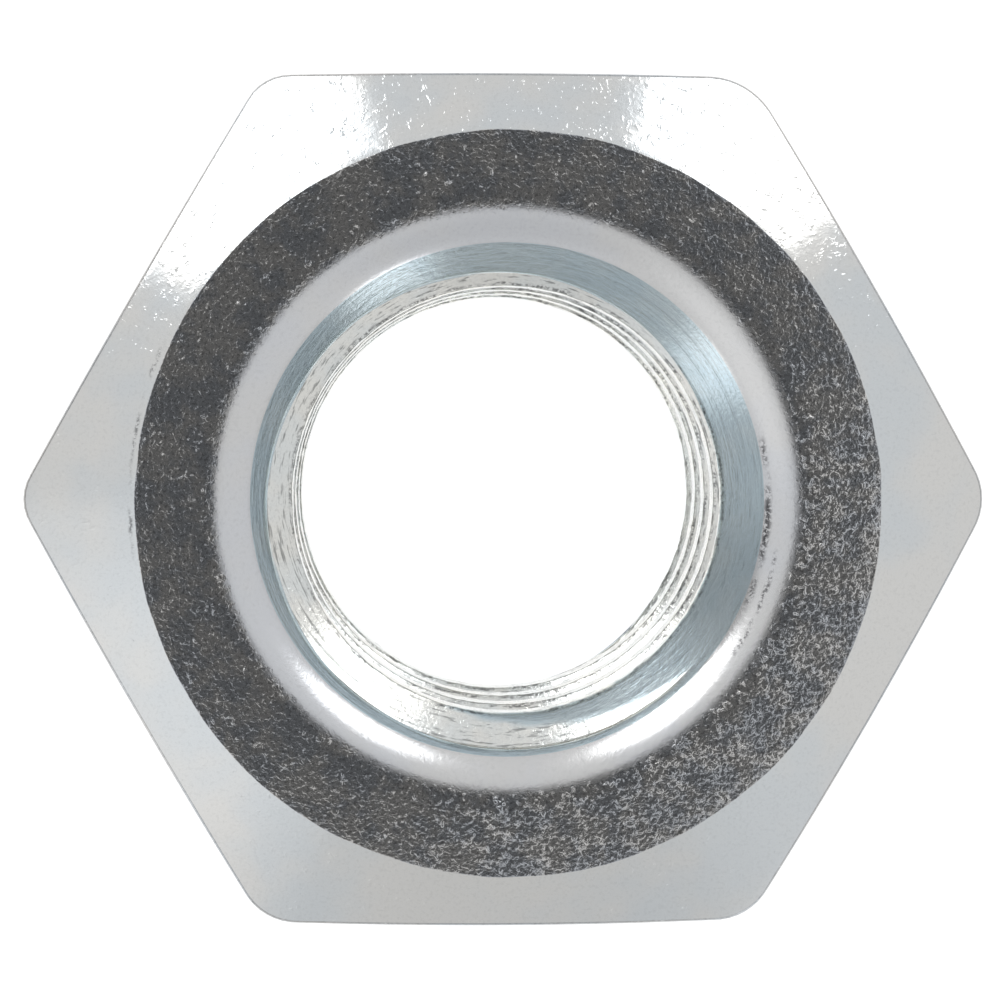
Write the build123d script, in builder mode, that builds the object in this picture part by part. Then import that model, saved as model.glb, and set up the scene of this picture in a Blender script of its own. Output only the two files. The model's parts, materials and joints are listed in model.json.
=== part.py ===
from build123d import *
from build123d.topology import SkipClean
import os
from math import ceil, cos, radians, sin, tan

# Hexagon nut with a metric coarse thread, lying on one bearing face.
# Origin: centre of the lower bearing face. +Z: along the thread axis. +X: towards a corner of the hexagon.

# Hexagon, in mm and degrees
width_across_flats = 17.0
nut_height = 8.0
corner_radius = 0.9  # the forging die leaves the corners a little under-filled
bearing_diameter = 14.8  # flat ring on each face, inside the outer chamfer
chamfer_angle = 20.0  # from the plane of the face

# Mouth of the bore, the same on both faces
roll_in_start_radius = 6.13  # where the flat ring starts to roll in towards the bore
roll_in_radius = 1.57
roll_in_end_angle = 40.0  # slope of the rolled-in surface where the countersink cuts it
countersink_angle = 45.0  # half of the included angle

# Internal thread, right-hand
thread_major_diameter = 10.0
thread_minor_diameter = 8.67
thread_pitch = 1.5
thread_half_angle = 30.0
thread_start_angle = 319.0  # where the groove runs out into the upper countersink, from +X
bore_sectors = 4  # the turned surfaces are laid out in equal arcs

# Outer chamfer, worked out
blank_radius = width_across_flats / 2 / cos(radians(30)) + 1
chamfer_drop = (blank_radius - bearing_diameter / 2) * tan(radians(chamfer_angle))

# Mouth of the bore, worked out
minor_radius = thread_minor_diameter / 2
major_radius = thread_major_diameter / 2
cone_slope = 1 / tan(radians(countersink_angle))
roll_in_end_radius = roll_in_start_radius - roll_in_radius * sin(radians(roll_in_end_angle))
roll_in_depth = roll_in_radius * (1 - cos(radians(roll_in_end_angle)))
countersink_depth = roll_in_depth + (roll_in_end_radius - minor_radius) * cone_slope

# Thread groove, worked out. It runs out where the edge of its root meets the upper countersink
root_half_width = thread_pitch / 16
cutter_reach = 0.2  # the cutter reaches this far past the bore wall
cutter_depth = major_radius - minor_radius + cutter_reach
cutter_half_width = root_half_width + cutter_depth * tan(radians(thread_half_angle))
run_out_depth = roll_in_depth + (roll_in_end_radius - major_radius) * cone_slope - root_half_width
top_turn_height = nut_height - run_out_depth - thread_pitch / 2
turn_start_angle = thread_start_angle - 180
groove_turns = ceil((top_turn_height + thread_pitch - run_out_depth) / thread_pitch)

os.makedirs("parts", exist_ok=True)

# One arc of the turned outline: chamfers, flat rings, rolled-in mouths, countersinks and bore wall
with BuildPart() as blank_sector:
    with BuildSketch(Plane.XZ):
        with BuildLine():
            upper_roll_in = RadiusArc(
                (roll_in_start_radius, nut_height),
                (roll_in_end_radius, nut_height - roll_in_depth),
                roll_in_radius,
            )
            lower_roll_in = RadiusArc(
                (roll_in_end_radius, roll_in_depth),
                (roll_in_start_radius, 0),
                roll_in_radius,
            )
            Polyline(
                upper_roll_in @ 1,
                (minor_radius, nut_height - countersink_depth),
                (minor_radius, countersink_depth),
                lower_roll_in @ 0,
            )
            Polyline(
                lower_roll_in @ 1,
                (bearing_diameter / 2, 0),
                (blank_radius, chamfer_drop),
                (blank_radius, nut_height - chamfer_drop),
                (bearing_diameter / 2, nut_height),
                upper_roll_in @ 0,
            )
        make_face()
    revolve(axis=Axis.Z, revolution_arc=360 / bore_sectors)

# One turn of the thread groove, a V with a flat root on a right-hand helix that begins on +X
with BuildPart() as groove_turn:
    with BuildLine() as groove_path:
        Helix(pitch=thread_pitch, height=thread_pitch, radius=major_radius)
    helix = groove_path.line
    with BuildSketch(Plane(origin=helix @ 0, x_dir=(1, 0, 0), z_dir=helix % 0)):
        with BuildLine():
            Polyline(
                (0, -root_half_width),
                (0, root_half_width),
                (-cutter_depth, cutter_half_width),
                (-cutter_depth, -cutter_half_width),
                close=True,
            )
        make_face()
    sweep(path=helix, is_frenet=True)

# The whole nut. Its faces stay in their arcs, so no thread crest becomes one face of many turns
with SkipClean(), BuildPart() as nut_body:
    with PolarLocations(0, bore_sectors):
        add(blank_sector.part, clean=False)
    with BuildSketch() as hexagon:
        RegularPolygon(width_across_flats / 2, 6, major_radius=False)
        fillet(hexagon.vertices(), corner_radius)
    extrude(amount=nut_height, mode=Mode.INTERSECT, clean=False)
    for turn in range(groove_turns):
        turn_height = top_turn_height - turn * thread_pitch
        with Locations(Location((0, 0, turn_height), (0, 0, turn_start_angle))):
            add(groove_turn.part, mode=Mode.SUBTRACT, clean=False)

nut_body.part.label = "nut_body"
export_step(nut_body.part, "parts/nut_body.step")
print("nut_body", round(nut_body.part.volume, 1), "mm3")
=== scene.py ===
import bpy
import json
import numpy as np
from math import cos, pi, radians, sin, tan
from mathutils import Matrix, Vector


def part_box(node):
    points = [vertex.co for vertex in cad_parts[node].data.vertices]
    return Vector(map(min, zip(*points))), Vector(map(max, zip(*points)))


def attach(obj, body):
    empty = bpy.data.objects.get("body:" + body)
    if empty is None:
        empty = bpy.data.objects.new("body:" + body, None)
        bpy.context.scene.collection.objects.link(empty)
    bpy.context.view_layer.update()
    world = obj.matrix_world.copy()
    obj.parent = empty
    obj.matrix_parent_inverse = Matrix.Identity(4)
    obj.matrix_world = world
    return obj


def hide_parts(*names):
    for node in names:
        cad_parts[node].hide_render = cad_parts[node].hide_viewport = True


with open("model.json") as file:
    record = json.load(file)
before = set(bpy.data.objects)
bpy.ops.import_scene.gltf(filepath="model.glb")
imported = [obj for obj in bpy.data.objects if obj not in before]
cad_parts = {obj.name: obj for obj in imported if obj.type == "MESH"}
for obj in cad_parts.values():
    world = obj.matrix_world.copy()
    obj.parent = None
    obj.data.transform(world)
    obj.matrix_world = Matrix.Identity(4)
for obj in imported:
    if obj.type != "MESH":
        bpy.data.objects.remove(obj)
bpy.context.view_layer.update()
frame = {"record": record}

mm = 0.001

# What the frame says about the nut: its box and the thread's crest radius
nutLow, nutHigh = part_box("nut_body")
acrossFlats = nutHigh[1] - nutLow[1]
nutHeight = nutHigh[2] - nutLow[2]
threadMount = next(m for m in frame["record"]["mounts"] if m["name"] == "thread")
crestRadius = threadMount["dims"]["r_mm"] * mm

hexagon = {
    "chamferSlope": radians(20),
    "ringRadius": 7.38 * mm,      # outer edge of the bearing ring
    "ringShift": 0.07 * mm,       # the ring is struck a little off centre
    "ringShiftAngle": radians(290),
    "ringWander": 0.012 * mm,     # unevenness of that edge
    "ringWanderCells": 70,        # how many bends it has round the axis
    "ringWanderSeeds": (3, 4),    # upper face, lower face
    "ringEdgeSoftness": 0.05 * mm,
    "outlineSoftness": 0.09 * mm,
    "cornerRadii": np.array([1.13, 1.44, 0.93, 0.90, 1.15, 1.14]) * mm,   # anticlockwise from +X
}
mouth = {
    "rollInStart": 6.13 * mm,
    "rollInRadius": 1.57 * mm,
    "rollInEnd": radians(40),
    "coneSlope": 1.0,             # rise over run of the countersink
    "grainStart": 6.01 * mm,      # where the ring's grain fades in over the rolled mouth
    "grainEnd": 6.17 * mm,
    "grainShake": 0.5 * mm,       # how far noise moves that edge
}
thread = {
    "pitch": 1.5 * mm,
    "rootRadius": 5.0 * mm,
    "rootHalfWidth": 1.5 / 16 * mm,       # a sixteenth of the pitch
    "flankSlope": tan(radians(30)),
    "startAngle": radians(319),   # where the groove runs out at the upper mouth
    "softness": 0.010 * mm,       # rounding of crests and roots
    "joinMargin": 0.08 * mm,      # the bore's rows begin this far outside the roots
    "tearDepth": 0.012 * mm,      # how far the crests are torn
    "tearCover": 0.5,             # 0 leaves half of the thread untorn, 1 none of it
    "tearFine": (220, 0.16 * mm, 11),     # cells round the axis, cell height, random seed
    "tearCoarse": (40, 0.5 * mm, 12),
}
columns = 360                     # points round the axis
# rows of points along each stretch of a face, both ends counted, and in each part of the thread's profile
rowCounts = {
    "cone": 3, "rollIn": 12, "ring": 7, "ringEdge": 4, "chamfer": 12, "outline": 6, "flat": 6,
    "root": 3, "flank": 8, "crest": 6,
}
latticeRows = 512                 # rows of random numbers before drumNoise repeats
finishOrder = ["bearingFace", "machinedBore", "forgedChamfer", "wornEdge", "spannerFlat"]


def drumNoise(angle, height, cellsAround, cellHeight, seed):
    # a random number at each crossing of a lattice wrapped round the axis, blended by smoothed steps
    table = np.random.default_rng(seed).random((cellsAround, latticeRows))
    across = angle / (2 * pi) * cellsAround
    up = height / cellHeight
    i, j = np.floor(across).astype(int), np.floor(up).astype(int)
    s, t = across - i, up - j
    s, t = s * s * (3 - 2 * s), t * t * (3 - 2 * t)
    i0, i1, j0, j1 = i % cellsAround, (i + 1) % cellsAround, j % latticeRows, (j + 1) % latticeRows
    low = table[i0, j0] * (1 - s) + table[i1, j0] * s
    high = table[i0, j1] * (1 - s) + table[i1, j1] * s
    return (low * (1 - t) + high * t) * 2 - 1


def smoothMax(a, b, softness):
    # the larger of two surfaces, with the crease between them rounded
    return (a + b) / 2 + np.sqrt(((a - b) / 2) ** 2 + softness ** 2)


def smoothMin(a, b, softness):
    # the smaller of two surfaces: both turned over, the larger taken, and that turned back
    return -smoothMax(-a, -b, softness)


def hexRadius(angle):
    # distance from the axis to a hexagon with rounded corners: half the flats over the cosine of the angle
    # from the nearest flat, and near a corner the far crossing with that corner's circle
    apothem = acrossFlats / 2
    corner = np.round(angle / (pi / 3)).astype(int) % 6
    fromCorner = angle - np.round(angle / (pi / 3)) * (pi / 3)
    radius = hexagon["cornerRadii"][corner]
    centre = (apothem - radius) / cos(pi / 6)
    flatRadius = apothem / np.cos(pi / 6 - np.abs(fromCorner))
    reach = np.maximum(radius ** 2 - (centre * np.sin(fromCorner)) ** 2, 0)
    cornerRadius = centre * np.cos(fromCorner) + np.sqrt(reach)
    tangentAngle = pi / 6 - np.arctan(centre / 2 / apothem)
    return np.where(np.abs(fromCorner) > tangentAngle, flatRadius, cornerRadius)


def threadRadius(angle, height):
    # the groove's V: from the root it closes at the flank slope to the crest; it repeats every pitch,
    # and its centre climbs one pitch a turn
    pitch = thread["pitch"]
    centre = grooveStart + pitch * (angle - thread["startAngle"]) / (2 * pi)
    across = np.abs((height - centre + pitch / 2) % pitch - pitch / 2)
    flank = thread["rootRadius"] - (across - thread["rootHalfWidth"]) / thread["flankSlope"]
    inner = smoothMin(flank, thread["rootRadius"], thread["softness"])
    crest = crestRadius + tear(angle, height)
    return smoothMax(inner, crest, thread["softness"])


def tear(angle, height):
    # the tap leaves the crests slightly torn: fine noise, kept only where coarse noise is high enough
    fine = drumNoise(angle, height, *thread["tearFine"])
    coarse = drumNoise(angle, height, *thread["tearCoarse"])
    return thread["tearDepth"] * fine * np.clip(coarse + thread["tearCover"], 0, 1)


def coneDepth(radius):
    # the countersink: from the end of the rolled mouth its depth grows inwards by the slope
    return rollInDepth + (rollInEndRadius - radius) * mouth["coneSlope"]


def coneRadius(height):
    # both countersinks, coneDepth turned round: the radius shrinks with the depth under the nearer face
    depth = np.minimum(height, nutHeight - height)
    return rollInEndRadius - (depth - rollInDepth) / mouth["coneSlope"]


def boreRadius(angle, height):
    # the bore is the thread or the countersink, whichever reaches further out
    return smoothMax(threadRadius(angle, height), coneRadius(height), thread["softness"])


def faceRows(angle, seed):
    # one face from the countersink out to the middle of the flats: radius and depth of each row of
    # points, and the finish of the strip that starts there
    slope = hexagon["chamferSlope"]
    ring = hexagon["ringRadius"] + hexagon["ringShift"] * np.cos(angle - hexagon["ringShiftAngle"])
    level = 0 * angle
    bends = drumNoise(angle, level, hexagon["ringWanderCells"], mm, seed)
    ring = ring + hexagon["ringWander"] * bends
    outline = hexRadius(angle)
    rows = []
    for r in np.linspace(joinRadius, rollInEndRadius, rowCounts["cone"])[:-1]:
        rows.append((r + level, coneDepth(r) + level, "machinedBore"))
    for a in np.linspace(mouth["rollInEnd"], 0, rowCounts["rollIn"]):
        rows.append((mouth["rollInStart"] - mouth["rollInRadius"] * sin(a) + level,
                     mouth["rollInRadius"] * (1 - cos(a)) + level, "bearingFace"))
    soft = hexagon["ringEdgeSoftness"]
    ringEnd = ring - soft * tan(slope / 2)
    for t in np.linspace(0, 1, rowCounts["ring"])[1:-1]:
        rows.append((mouth["rollInStart"] * (1 - t) + ringEnd * t, level, "bearingFace"))
    for a in np.linspace(0, slope, rowCounts["ringEdge"])[:-1]:
        rows.append((ringEnd + soft * sin(a), soft * (1 - cos(a)) + level, "bearingFace"))
    chamferStart = ringEnd + soft * sin(slope)
    soft = hexagon["outlineSoftness"]
    chamferEnd = outline - soft * (1 - sin(slope))
    for t in np.linspace(0, 1, rowCounts["chamfer"])[:-1]:
        r = chamferStart * (1 - t) + chamferEnd * t
        rows.append((r, (r - ring) * tan(slope), "forgedChamfer"))
    edgeDepth = (chamferEnd - ring) * tan(slope)
    # the rounded outline edge, whose finish is darkened as painted shade
    for a in np.linspace(slope, pi / 2, rowCounts["outline"])[:-1]:
        rows.append((chamferEnd + soft * (sin(a) - sin(slope)), edgeDepth + soft * (cos(slope) - cos(a)),
                     "wornEdge"))
    wallTop = edgeDepth + soft * cos(slope)
    for t in np.linspace(0, 1, rowCounts["flat"]):
        rows.append((outline, wallTop * (1 - t) + nutHeight / 2 * t, "spannerFlat"))
    radius, depth, finish = zip(*rows)
    return np.array(radius), np.array(depth), finish


def halfPitchStations():
    # heights of the mesh rows from the groove's centre to the middle of the crest, closer at each edge
    marks = [0, thread["rootHalfWidth"],
             thread["rootHalfWidth"] + (thread["rootRadius"] - crestRadius) * thread["flankSlope"],
             thread["pitch"] / 2]
    counts = [rowCounts["root"], rowCounts["flank"], rowCounts["crest"]]
    parts = []
    for low, high, count in zip(marks[:-1], marks[1:], counts):
        t = np.arange(count) / count
        parts.append(low + (high - low) * (1 - np.cos(pi * t)) / 2)
    return np.concatenate(parts)


rollInEndRadius = mouth["rollInStart"] - mouth["rollInRadius"] * sin(mouth["rollInEnd"])
rollInDepth = mouth["rollInRadius"] * (1 - cos(mouth["rollInEnd"]))
joinRadius = thread["rootRadius"] + thread["joinMargin"]
joinDepth = coneDepth(joinRadius)
grooveStart = nutHeight - coneDepth(thread["rootRadius"]) + thread["rootHalfWidth"]


def outsideGrid(angle):
    # both faces and the flats as one run of rows, from the upper join circle over the outside down to the
    # lower one: radius, height, and the finish number of every triangle
    upperRadius, upperDepth, finish = faceRows(angle, hexagon["ringWanderSeeds"][0])
    lowerRadius, lowerDepth, _ = faceRows(angle, hexagon["ringWanderSeeds"][1])
    radius = np.concatenate([upperRadius, lowerRadius[-2::-1]])
    height = np.concatenate([nutHeight - upperDepth, lowerDepth[-2::-1]])
    # the lower half has the upper one's strips in reverse
    strip = np.arange(len(radius) - 1)
    strip = np.minimum(strip, len(radius) - 2 - strip)
    numbers = np.array([finishOrder.index(name) for name in finish])
    return radius, height, np.repeat(numbers[strip], columns * 2)


def boreGrid(angle):
    # heights of the bore's rows: the stations of one pitch, repeated for enough turns to pass both join
    # circles, each row climbing one pitch round the axis
    pitch = thread["pitch"]
    half = halfPitchStations()
    stations = np.unique(np.round(np.concatenate([half, pitch - half[1:], [pitch / 2]]), 9))
    firstCentre = grooveStart - pitch * thread["startAngle"] / (2 * pi)
    turnsBelow = int(np.ceil((firstCentre - joinDepth + pitch) / pitch)) + 1
    turnsAbove = int(np.ceil((nutHeight - joinDepth - firstCentre) / pitch)) + 1
    turns = np.arange(-turnsBelow, turnsAbove)
    heights = (firstCentre + turns[:, None] * pitch + stations).ravel()
    return heights[:, None] + pitch * angle / (2 * pi), len(stations)


def shareOfThread(angle, height):
    # 1 on the thread, 0 on the countersinks, blended where they meet
    lead = threadRadius(angle, height) - coneRadius(height)
    return np.clip(lead / thread["softness"] / 2 + 0.5, 0, 1)


def trianglePairs(index, following):
    # two triangles in each cell between a row and the next one, and between a column and the following one
    a, b, c, d = index[:-1], index[1:], following[1:], following[:-1]
    return np.stack([np.stack([a, b, c], -1), np.stack([a, c, d], -1)], 2).reshape(-1, 3)


def buildNut():
    # the outside and the bore are two grids that share the join circles; together they close the surface
    angle = np.arange(columns) * 2 * pi / columns
    outerRadius, outerHeight, outerZone = outsideGrid(angle)
    climbing, perPitch = boreGrid(angle)
    low, high = joinDepth, nutHeight - joinDepth
    boreHeight = np.clip(climbing, low, high)
    radius = np.concatenate([outerRadius, boreRadius(angle, boreHeight)])
    height = np.concatenate([outerHeight, boreHeight])
    points = np.stack([radius * np.cos(angle), radius * np.sin(angle), height], -1).reshape(-1, 3)
    threadShare = np.concatenate([0 * outerRadius, shareOfThread(angle, boreHeight)]).ravel()

    index = np.arange(radius.size).reshape(-1, columns)
    outerIndex, boreIndex = index[:len(outerRadius)], index[len(outerRadius):]
    # rows that are held at a join circle, or nearly, become that circle
    boreIndex = np.where(climbing <= low + thread["softness"], outerIndex[-1], boreIndex)
    boreIndex = np.where(climbing >= high - thread["softness"], outerIndex[0], boreIndex)
    # one turn further round, a row has become the row one pitch above
    pitchAbove = np.concatenate([boreIndex[perPitch:, :1], np.zeros((perPitch, 1), int)])
    boreNext = np.concatenate([boreIndex[:, 1:], pitchAbove], 1)
    outerNext = np.roll(outerIndex, -1, 1)

    outerFaces = trianglePairs(outerIndex, outerNext)
    boreFaces = trianglePairs(boreIndex, boreNext)
    faces = np.concatenate([outerFaces, boreFaces])
    zone = np.concatenate([outerZone, np.full(len(boreFaces), finishOrder.index("machinedBore"))])
    whole = (faces != np.roll(faces, 1, 1)).all(1)     # not closed up at a join circle
    used, faces = np.unique(faces[whole], return_inverse=True)
    return makeMesh(points[used], faces.reshape(-1, 3), zone[whole], threadShare[used])


def makeMesh(points, faces, zone, threadShare):
    # one mesh, with a finish number on every triangle and the thread's share on every point
    mesh = bpy.data.meshes.new("nut")
    mesh.vertices.add(len(points))
    mesh.vertices.foreach_set("co", points.ravel())
    mesh.loops.add(faces.size)
    mesh.loops.foreach_set("vertex_index", faces.ravel())
    mesh.polygons.add(len(faces))
    mesh.polygons.foreach_set("loop_start", np.arange(0, faces.size, 3))
    mesh.polygons.foreach_set("material_index", zone.astype(np.int32))
    mesh.update(calc_edges=True)
    mesh.attributes.new("threadShare", "FLOAT", "POINT").data.foreach_set("value", threadShare)
    mesh.validate()
    mesh.polygons.foreach_set("use_smooth", np.ones(len(mesh.polygons), bool))
    nut = bpy.data.objects.new("nut", mesh)
    bpy.context.scene.collection.objects.link(nut)
    print("nut:", len(points), "points,", len(mesh.polygons), "triangles")
    return nut


numberSocket, colourSocket, vectorSocket = "NodeSocketFloat", "NodeSocketColor", "NodeSocketVector"
white = (1, 1, 1, 1)
plusX = (1, 0, 0)


def opaque(rgb):
    # a colour for a socket: red, green, blue and full alpha
    return (*rgb, 1)


def direction(degrees):
    # the level direction that lies so many degrees from +X
    return (cos(radians(degrees)), sin(radians(degrees)), 0)


def newGroup(name, inputs, outputs):
    # an empty node group: inputs are {name: (socket type, value)}, outputs are {name: socket type}
    group = bpy.data.node_groups.new(name, "ShaderNodeTree")
    for label, (kind, value) in inputs.items():
        socket = group.interface.new_socket(name=label, in_out="INPUT", socket_type=kind)
        socket.default_value = value
    for label, kind in outputs.items():
        group.interface.new_socket(name=label, in_out="OUTPUT", socket_type=kind)
    return Wiring(group)


class Wiring:
    # short forms for the few nodes that every finish is made of; a new group also gets its input node
    def __init__(self, tree):
        self.tree = tree
        self.start = None if tree.nodes else tree.nodes.new("NodeGroupInput")

    def put(self, socket, value):
        if isinstance(value, bpy.types.NodeSocket):
            self.tree.links.new(value, socket)
        else:
            socket.default_value = value

    def math(self, operation, a, b=0.0, c=0.0):
        node = self.tree.nodes.new("ShaderNodeMath")
        node.operation = operation
        for socket, value in zip(node.inputs, (a, b, c)):
            self.put(socket, value)
        return node.outputs[0]

    def dot(self, a, b):
        node = self.tree.nodes.new("ShaderNodeVectorMath")
        node.operation = "DOT_PRODUCT"
        self.put(node.inputs[0], a)
        self.put(node.inputs[1], b)
        return node.outputs["Value"]

    def length(self, vector):
        node = self.tree.nodes.new("ShaderNodeVectorMath")
        node.operation = "LENGTH"
        self.put(node.inputs[0], vector)
        return node.outputs["Value"]

    def noise(self, place, scale, detail=2.0, roughness=0.5, distortion=0.0):
        node = self.tree.nodes.new("ShaderNodeTexNoise")
        for name, value in (("Vector", place), ("Scale", scale), ("Detail", detail), ("Roughness", roughness),
                            ("Distortion", distortion)):
            self.put(node.inputs[name], value)
        return node.outputs["Fac"]

    def smoothStep(self, value, low, high):
        # 0 below the low end, 1 above the high end, an S-shaped rise between them
        node = self.tree.nodes.new("ShaderNodeMapRange")
        node.interpolation_type = "SMOOTHSTEP"
        for name, x in (("Value", value), ("From Min", low), ("From Max", high)):
            self.put(node.inputs[name], x)
        return node.outputs["Result"]

    def blend(self, mask, low, high):
        node = self.tree.nodes.new("ShaderNodeMix")
        for socket, value in ((0, mask), (2, low), (3, high)):
            self.put(node.inputs[socket], value)
        return node.outputs[0]

    def mixColour(self, mask, low, high):
        node = self.tree.nodes.new("ShaderNodeMix")
        node.data_type = "RGBA"
        for socket, value in ((0, mask), (6, low), (7, high)):
            self.put(node.inputs[socket], value)
        return node.outputs[2]

    def split(self, vector):
        node = self.tree.nodes.new("ShaderNodeSeparateXYZ")
        self.put(node.inputs[0], vector)
        return node.outputs

    def join(self, x, y, z):
        node = self.tree.nodes.new("ShaderNodeCombineXYZ")
        for socket, value in zip(node.inputs, (x, y, z)):
            self.put(socket, value)
        return node.outputs[0]

    def place(self):
        return self.tree.nodes.new("ShaderNodeTexCoord").outputs["Object"]

    def use(self, group, **values):
        node = self.tree.nodes.new("ShaderNodeGroup")
        node.node_tree = group
        for name, value in values.items():
            self.put(node.inputs[name], value)
        return node.outputs

    def bump(self, height):
        # the height is in metres, so the distance stays 1
        node = self.tree.nodes.new("ShaderNodeBump")
        self.put(node.inputs["Height"], height)
        node.inputs["Distance"].default_value = 1.0
        node.inputs["Strength"].default_value = 1.0
        return node.outputs[0]

    def finish(self, **values):
        end = self.tree.nodes.new("NodeGroupOutput")
        for name, value in values.items():
            self.put(end.inputs[name], value)
        return self.tree


# What the plating's node groups share: scales are in cells per metre
plating = {
    "coarseGrainScale": 0.4,       # of the fine grain's scale
    "coarseGrainShare": 0.5,
    "grainRise": 0.4,              # noise above the level at which a grain is full height
    "speckScale": 14000.0,
    "speckColour": (0.05, 0.05, 0.055),
    "turningDrift": (0.9 * mm, 0.7 * mm),     # how little the turning marks' noise moves round the axis
    "sideFade": 0.7,               # share of the way to the middle of a side over which its mask fades in
    "coarseReach": 0.2,            # cosine at which the coarser side begins
    "streakColour": (0.10, 0.11, 0.11),
    # the dark lines' colour: tear marks, and painted shade in the chamfer's crease and along the thread's
    # crest edges
    "tearAndShadeColour": (0.07, 0.07, 0.075),
    "tearAndShadeWander": 0.1 * mm,
    "tearAndShadeWanderScale": 3500.0,
    "tearAndShadeFineScale": 13000.0,
    "tearAndShadeCoarseScale": 1800.0,
    "ringShakeScale": 7000.0,
}


def grainGroup():
    # grain: fine noise plus half as much coarse noise, lifted only above a level so that single grains stand
    # up, plus a share of the fine noise everywhere
    w = newGroup("forgedGrain", {
        "Scale": (numberSocket, 9000.0),
        "Level": (numberSocket, 0.6),
        "Everywhere": (numberSocket, 0.2),
    }, {"Height": numberSocket})
    place, given = w.place(), w.start.outputs
    fine = w.noise(place, given["Scale"], detail=2.0, roughness=0.6, distortion=0.4)
    coarse = w.noise(place, w.math("MULTIPLY", given["Scale"], plating["coarseGrainScale"]), detail=1.0)
    both = w.math("MULTIPLY_ADD", coarse, plating["coarseGrainShare"], fine)
    grains = w.smoothStep(both, given["Level"], w.math("ADD", given["Level"], plating["grainRise"]))
    swing = w.math("MULTIPLY", w.math("SUBTRACT", fine, 0.5), given["Everywhere"])
    return w.finish(Height=w.math("ADD", swing, grains))


def tintGroup():
    # plating tint: two colours mixed by slow noise, then darkened a little by a finer one
    w = newGroup("platingTint", {
        "Warm": (colourSocket, white),
        "Cool": (colourSocket, white),
        "Scale": (numberSocket, 500.0),
        "Dirt": (numberSocket, 0.1),
    }, {"Color": colourSocket})
    place, given = w.place(), w.start.outputs
    slow = w.smoothStep(w.noise(place, given["Scale"], detail=3.0, roughness=0.6), low=0.38, high=0.62)
    tint = w.mixColour(slow, given["Warm"], given["Cool"])
    speck = w.smoothStep(w.noise(place, plating["speckScale"], detail=2.0, roughness=0.7), low=0.48, high=0.7)
    dirt = w.math("MULTIPLY", speck, given["Dirt"])
    return w.finish(Color=w.mixColour(dirt, tint, opaque(plating["speckColour"])))


def turningGroup():
    # turning marks: noise on (radius + height, radius - height), which barely changes round the axis, so it
    # makes rings
    w = newGroup("turningMarks", {"Lines": (numberSocket, 9000.0)}, {"Height": numberSocket})
    x, y, z = w.split(w.place())
    radius = w.length(w.join(x, y, 0.0))
    driftX, driftY = plating["turningDrift"]
    alongX = w.math("MULTIPLY", w.math("DIVIDE", x, radius), driftX)
    alongY = w.math("MULTIPLY", w.math("DIVIDE", y, radius), driftY)
    across = w.join(w.math("ADD", radius, z), w.math("SUBTRACT", radius, z), w.math("ADD", alongX, alongY))
    return w.finish(Height=w.noise(across, w.start.outputs["Lines"], detail=3.0, roughness=0.6))


def sideGroup():
    # which side of the axis: the cosine of the angle from one direction, turned into a soft mask
    w = newGroup("sideMask", {
        "Direction": (vectorSocket, plusX),
        "Reach": (numberSocket, 0.5),
    }, {"Mask": numberSocket, "Radius": numberSocket})
    given = w.start.outputs
    x, y, _ = w.split(w.place())
    flat = w.join(x, y, 0.0)
    radius = w.length(flat)
    facing = w.math("DIVIDE", w.dot(flat, given["Direction"]), radius)
    rest = w.math("SUBTRACT", 1.0, given["Reach"])
    full = w.math("MULTIPLY_ADD", rest, plating["sideFade"], given["Reach"])
    return w.finish(Mask=w.smoothStep(facing, given["Reach"], full), Radius=radius)


def tornLineGroup():
    # a dark line, used for tear marks and for painted shade in creases and along crest edges: a band at one
    # radius, faded out away from one direction, broken by fine and by coarse noise
    w = newGroup("tearAndShadeLine", {
        "Radius": (numberSocket, 0.005),
        "Width": (numberSocket, 0.00005),
        "Direction": (vectorSocket, plusX),
        "Reach": (numberSocket, 0.95),
    }, {"Mask": numberSocket})
    place, given = w.place(), w.start.outputs
    sides = w.use(side, Direction=given["Direction"], Reach=given["Reach"])
    bends = w.noise(place, plating["tearAndShadeWanderScale"], detail=2.0)
    wander = w.math("MULTIPLY_ADD", bends, plating["tearAndShadeWander"], -plating["tearAndShadeWander"] / 2)
    away = w.math("ABSOLUTE", w.math("SUBTRACT", w.math("ADD", sides["Radius"], wander), given["Radius"]))
    band = w.math("SUBTRACT", 1.0, w.smoothStep(away, 0.0, given["Width"]))
    fine = w.noise(place, plating["tearAndShadeFineScale"], detail=3.0, roughness=0.7)
    coarse = w.noise(place, plating["tearAndShadeCoarseScale"], detail=2.0)
    fineGaps = w.smoothStep(fine, low=0.42, high=0.56)
    coarseGaps = w.smoothStep(coarse, low=0.36, high=0.60)
    broken = w.math("MULTIPLY", fineGaps, coarseGaps)
    return w.finish(Mask=w.math("MULTIPLY", w.math("MULTIPLY", band, sides["Mask"]), broken))


grain, tint, turning, side = grainGroup(), tintGroup(), turningGroup(), sideGroup()
tearAndShadeLine = tornLineGroup()


def newMaterial(name):
    material = bpy.data.materials.new(name)
    material.use_nodes = True
    shader = material.node_tree.nodes["Principled BSDF"]
    return material, shader, Wiring(material.node_tree)


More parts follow.
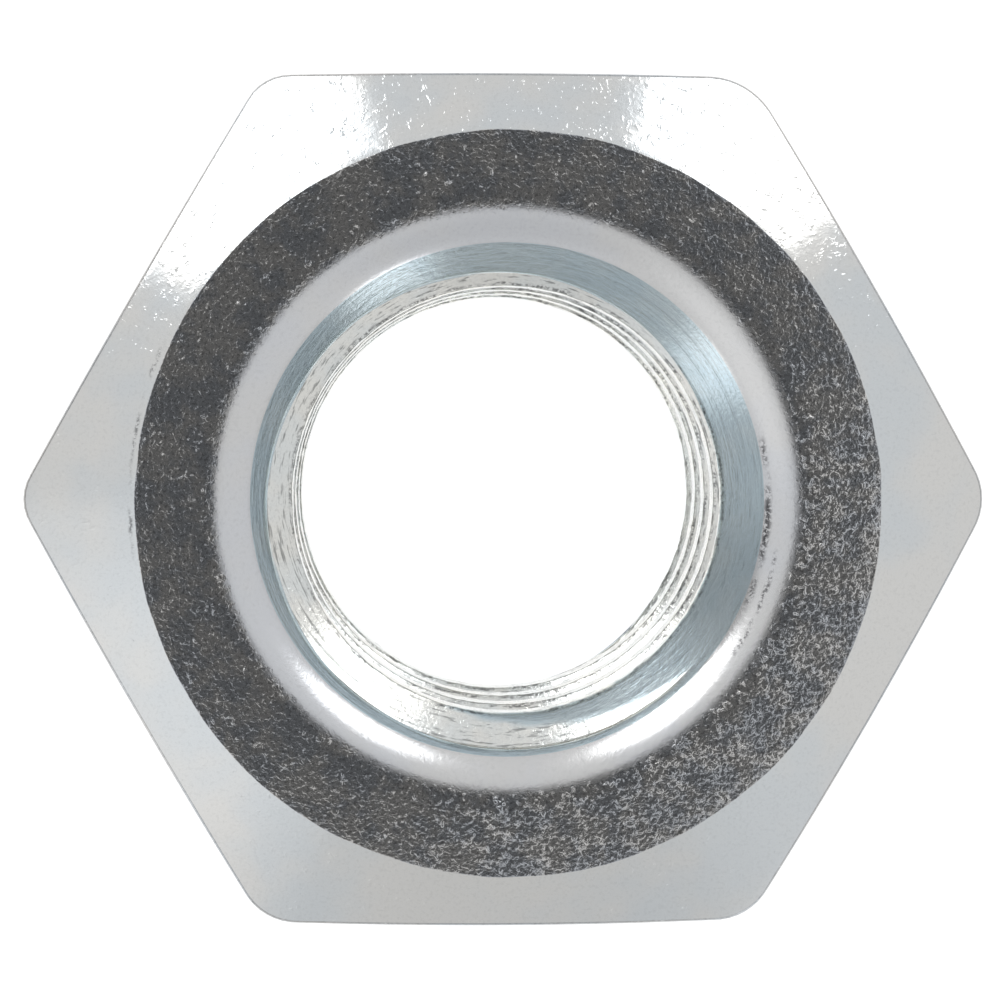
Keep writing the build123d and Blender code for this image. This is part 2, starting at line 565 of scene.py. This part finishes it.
def layer(w, look):
    # one finish: tint, grain height over the level (lower on the coarse side), turning marks, roughness
    colour = w.use(tint, Warm=opaque(look["warm"]), Cool=opaque(look["cool"]), Scale=look["tintScale"],
                   Dirt=look["dirt"])["Color"]
    level = look["grainLevel"]
    if "coarser" in look:
        coarse = w.use(side, Direction=direction(look["coarseSide"]), Reach=plating["coarseReach"])["Mask"]
        level = w.math("MULTIPLY_ADD", coarse, -look["coarser"], level)
    grains = w.use(grain, Scale=look["grainScale"], Level=level, Everywhere=look["everywhere"])["Height"]
    height = w.math("MULTIPLY", grains, look["grainDepth"])
    if "turningLines" in look:
        marks = w.use(turning, Lines=look["turningLines"])["Height"]
        height = w.math("MULTIPLY_ADD", marks, look["turningDepth"], height)
        if "streaks" in look:
            streak = w.math("MULTIPLY", w.smoothStep(marks, low=0.54, high=0.66), look["streaks"])
            colour = w.mixColour(streak, colour, opaque(plating["streakColour"]))
    return colour, height, look["roughness"]


def zincMaterial(name, looks, mask, tearAndShadeLines):
    # zinc: one layer, or two blended by a mask, with thin dark lines over them, tear marks and painted shade
    material, shader, w = newMaterial(name)
    colour, height, roughness = layer(w, looks[0])
    if mask:
        share = mask(w)
        colour2, height2, roughness2 = layer(w, looks[1])
        colour = w.mixColour(share, colour, colour2)
        height = w.blend(share, height, height2)
        roughness = w.blend(share, roughness, roughness2)
    for radius, width, angle, reach, strength in tearAndShadeLines:
        tearAndShade = w.use(tearAndShadeLine, Radius=radius * mm, Width=width * mm, Direction=direction(angle),
                     Reach=reach)["Mask"]
        colour = w.mixColour(w.math("MULTIPLY", tearAndShade, strength), colour, opaque(plating["tearAndShadeColour"]))
    w.put(shader.inputs["Base Color"], colour)
    w.put(shader.inputs["Roughness"], roughness)
    w.put(shader.inputs["Normal"], w.bump(height))
    shader.inputs["Metallic"].default_value = 1
    return material


def ringMask(w):
    # 1 on the ring, 0 in the rolled mouth: the radius, shaken by noise, past the inner edge of the grain
    shake = w.noise(w.place(), plating["ringShakeScale"], detail=3.0, roughness=0.7)
    shaken = w.math("MULTIPLY_ADD", shake, mouth["grainShake"], w.use(side)["Radius"])
    return w.smoothStep(shaken, mouth["grainStart"], mouth["grainEnd"])


def threadMask(w):
    # the mesh says how much of each point belongs to the thread
    node = w.tree.nodes.new("ShaderNodeAttribute")
    node.attribute_name = "threadShare"
    return node.outputs["Fac"]


# The finishes: depths are in metres, scales in cells per metre, sides in degrees from +X.
# grainLevel is the noise at which a grain begins, coarser is how far that sinks on the coarse side,
# everywhere is how much fine grain there is between, and streaks is how dark the turning marks get
rolledMouth = {
    "warm": (0.79, 0.785, 0.785), "cool": (0.77, 0.78, 0.81), "tintScale": 350.0, "dirt": 0.05,
    "grainScale": 7000.0, "grainDepth": 0.9e-6, "grainLevel": 0.6, "everywhere": 0.3,
    "turningLines": 5000.0, "turningDepth": 0.8e-6, "roughness": 0.20,
}
bearingRing = {
    "warm": (0.76, 0.745, 0.73), "cool": (0.58, 0.60, 0.635), "tintScale": 1700.0, "dirt": 0.40,
    "grainScale": 9500.0, "grainDepth": 6.5e-6, "grainLevel": 0.88, "everywhere": 1.9,
    "coarseSide": 318, "coarser": 0.15, "roughness": 0.17,
}
countersink = {
    "warm": (0.66, 0.75, 0.79), "cool": (0.60, 0.71, 0.77), "tintScale": 500.0, "dirt": 0.06,
    "grainScale": 12000.0, "grainDepth": 1.0e-6, "grainLevel": 0.6, "everywhere": 0.5,
    "turningLines": 9000.0, "turningDepth": 5.0e-6, "streaks": 0.12, "roughness": 0.22,
}
cutThread = {
    "warm": (0.93, 0.92, 0.88), "cool": (0.88, 0.90, 0.89), "tintScale": 700.0, "dirt": 0.10,
    "grainScale": 9000.0, "grainDepth": 3.0e-6, "grainLevel": 0.85, "everywhere": 1.2,
    "coarseSide": 300, "coarser": 0.1,
    "turningLines": 11000.0, "turningDepth": 8.0e-6, "streaks": 0.6, "roughness": 0.18,
}
forgedChamfer = {
    "warm": (0.86, 0.85, 0.83), "cool": (0.79, 0.82, 0.84), "tintScale": 300.0, "dirt": 0.06,
    "grainScale": 8000.0, "grainDepth": 7.0e-6, "grainLevel": 0.90, "everywhere": 0.22,
    "coarseSide": 90, "coarser": 0.08, "roughness": 0.11,
}
spannerFlat = {
    "warm": (0.62, 0.61, 0.60), "cool": (0.57, 0.58, 0.60), "tintScale": 240.0, "dirt": 0.20,
    "grainScale": 6000.0, "grainDepth": 7.0e-6, "grainLevel": 0.80, "everywhere": 0.8, "roughness": 0.30,
}
# the rounded outline edge: the flats' finish made darker, painted shade along the outline
wornEdge = dict(spannerFlat, warm=(0.55, 0.54, 0.53), cool=(0.50, 0.52, 0.54))

# Each material's layers, the mask between them, and its dark lines, tear marks and painted shade: radius and
# width in mm, angle in degrees, the cosine at which the line begins (well below -1 it runs all round),
# strength
finishes = {
    "bearingFace": ([rolledMouth, bearingRing], ringMask,
                    [(5.19, 0.10, 355, 0.92, 0.95), (5.43, 0.07, 337, 0.97, 0.85)]),
    # the bore's dark line along the crest edges: partly torn crests, partly painted shade of the grooves
    "machinedBore": ([countersink, cutThread], threadMask, [(4.38, 0.05, 0, -3.0, 0.8)]),
    # the chamfer's dark line on the left, at the ring's edge: painted shade in that crease
    "forgedChamfer": ([forgedChamfer], None, [(7.46, 0.06, 172, 0.95, 0.8)]),
    "wornEdge": ([wornEdge], None, []),
    "spannerFlat": ([spannerFlat], None, []),
}
nut = buildNut()
for name in finishOrder:
    nut.data.materials.append(zincMaterial(name, *finishes[name]))
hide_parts("nut_body")
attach(nut, "root")
print("finishes:", ", ".join(finishOrder))

studio = {
    "tint": (0.985, 0.995, 1.0),
    "dome": 0.68,
    "horizon": 0.48,
    "horizonLow": 74,              # tilts from straight up, where the dome darkens towards the horizon
    "horizonHigh": 84,
    # patches of light, later ones over earlier ones: tilt, angle, inner and outer half width, strength
    "patches": [
        (50, 275, 5, 30, 0.58),    # duller side
        (48, 212, 4, 26, 0.84),    # brighter side
        (87, 150, 12, 36, 0.36),   # dark end of the room
        (84, 216, 4, 13, 1.6),     # low reflectors
        (84, 300, 4, 13, 1.8),
        (0, 0, 15, 25, 0.10),      # the dark of the camera
        (58, 53, 12, 15, 2.3),     # soft boxes
        (57, 128, 15, 18, 2.8),
    ],
}


def buildWorld():
    world = bpy.data.worlds.new("studio")
    bpy.context.scene.world = world
    world.use_nodes = True
    w = Wiring(world.node_tree)
    sky = w.tree.nodes.new("ShaderNodeTexCoord").outputs["Generated"]
    background = w.tree.nodes["Background"]

    def patch(tilt, angle, inner, outer):
        # 1 inside a cone about the direction, 0 outside a wider one
        tilt, angle = radians(tilt), radians(angle)
        towards = (sin(tilt) * cos(angle), sin(tilt) * sin(angle), cos(tilt))
        return w.smoothStep(w.dot(sky, towards), cos(radians(outer)), cos(radians(inner)))

    overhead = patch(0, 0, studio["horizonLow"], studio["horizonHigh"])
    light = w.blend(overhead, studio["horizon"], studio["dome"])
    for *shape, strength in studio["patches"]:
        light = w.blend(patch(*shape), light, strength)
    w.put(background.inputs["Strength"], light)
    background.inputs["Color"].default_value = opaque(studio["tint"])
    print("studio light:", len(studio["patches"]), "patches")


floorLook = {
    "reach": 1.0,
    "below": 0.01 * mm,            # a hair under the nut, so the two faces don't coincide
    "shade": 0.25,
    "glow": 0.98,
}


def buildFloor():
    # a square at one height, its four corners as far out as the reach
    reach, level = floorLook["reach"], -floorLook["below"]
    mesh = bpy.data.meshes.new("floor")
    corners = [(-reach, -reach, level), (reach, -reach, level), (reach, reach, level), (-reach, reach, level)]
    mesh.from_pydata(corners, [], [(0, 1, 2, 3)])
    floor = bpy.data.objects.new("floor", mesh)
    bpy.context.scene.collection.objects.link(floor)
    material, shader, w = newMaterial("paleFloor")
    shader.inputs["Base Color"].default_value = opaque([floorLook["shade"]] * 3)
    shader.inputs["Roughness"].default_value = 1
    shader.inputs["Emission Color"].default_value = white
    shader.inputs["Emission Strength"].default_value = floorLook["glow"]
    # from below the floor is clear, so that the nut's lower face shows
    nodes = w.tree.nodes
    mix = nodes.new("ShaderNodeMixShader")
    w.put(mix.inputs[0], nodes.new("ShaderNodeNewGeometry").outputs["Backfacing"])
    w.put(mix.inputs[1], shader.outputs["BSDF"])
    w.put(mix.inputs[2], nodes.new("ShaderNodeBsdfTransparent").outputs["BSDF"])
    w.put(nodes["Material Output"].inputs["Surface"], mix.outputs[0])
    mesh.materials.append(material)
    print("floor:", floorLook["below"] / mm, "mm under the nut")


cameraPlace = {
    "left": 2.12 * mm,
    "forward": 1.60 * mm,
    "aboveFace": 45.9 * mm,
    "turn": (radians(-0.52), radians(-1.89), 0),
    "lens": 83.8,
    "sensor": 36,
    "shift": (0.0218, -0.0596),
    "clip": (0.001, 10),
}


def buildCamera():
    data = bpy.data.cameras.new("camera")
    data.sensor_width = cameraPlace["sensor"]
    data.lens = cameraPlace["lens"]
    data.shift_x, data.shift_y = cameraPlace["shift"]
    data.clip_start, data.clip_end = cameraPlace["clip"]
    camera = bpy.data.objects.new("camera", data)
    camera.rotation_mode = "YXZ"
    camera.rotation_euler = cameraPlace["turn"]
    camera.location = (-cameraPlace["left"], cameraPlace["forward"], nutHeight + cameraPlace["aboveFace"])
    bpy.context.scene.collection.objects.link(camera)
    bpy.context.scene.camera = camera
    print("camera:", cameraPlace["lens"], "mm lens")


buildWorld()
buildFloor()
buildCamera()
bpy.context.scene.view_settings.view_transform = "Standard"     # so that white stays white
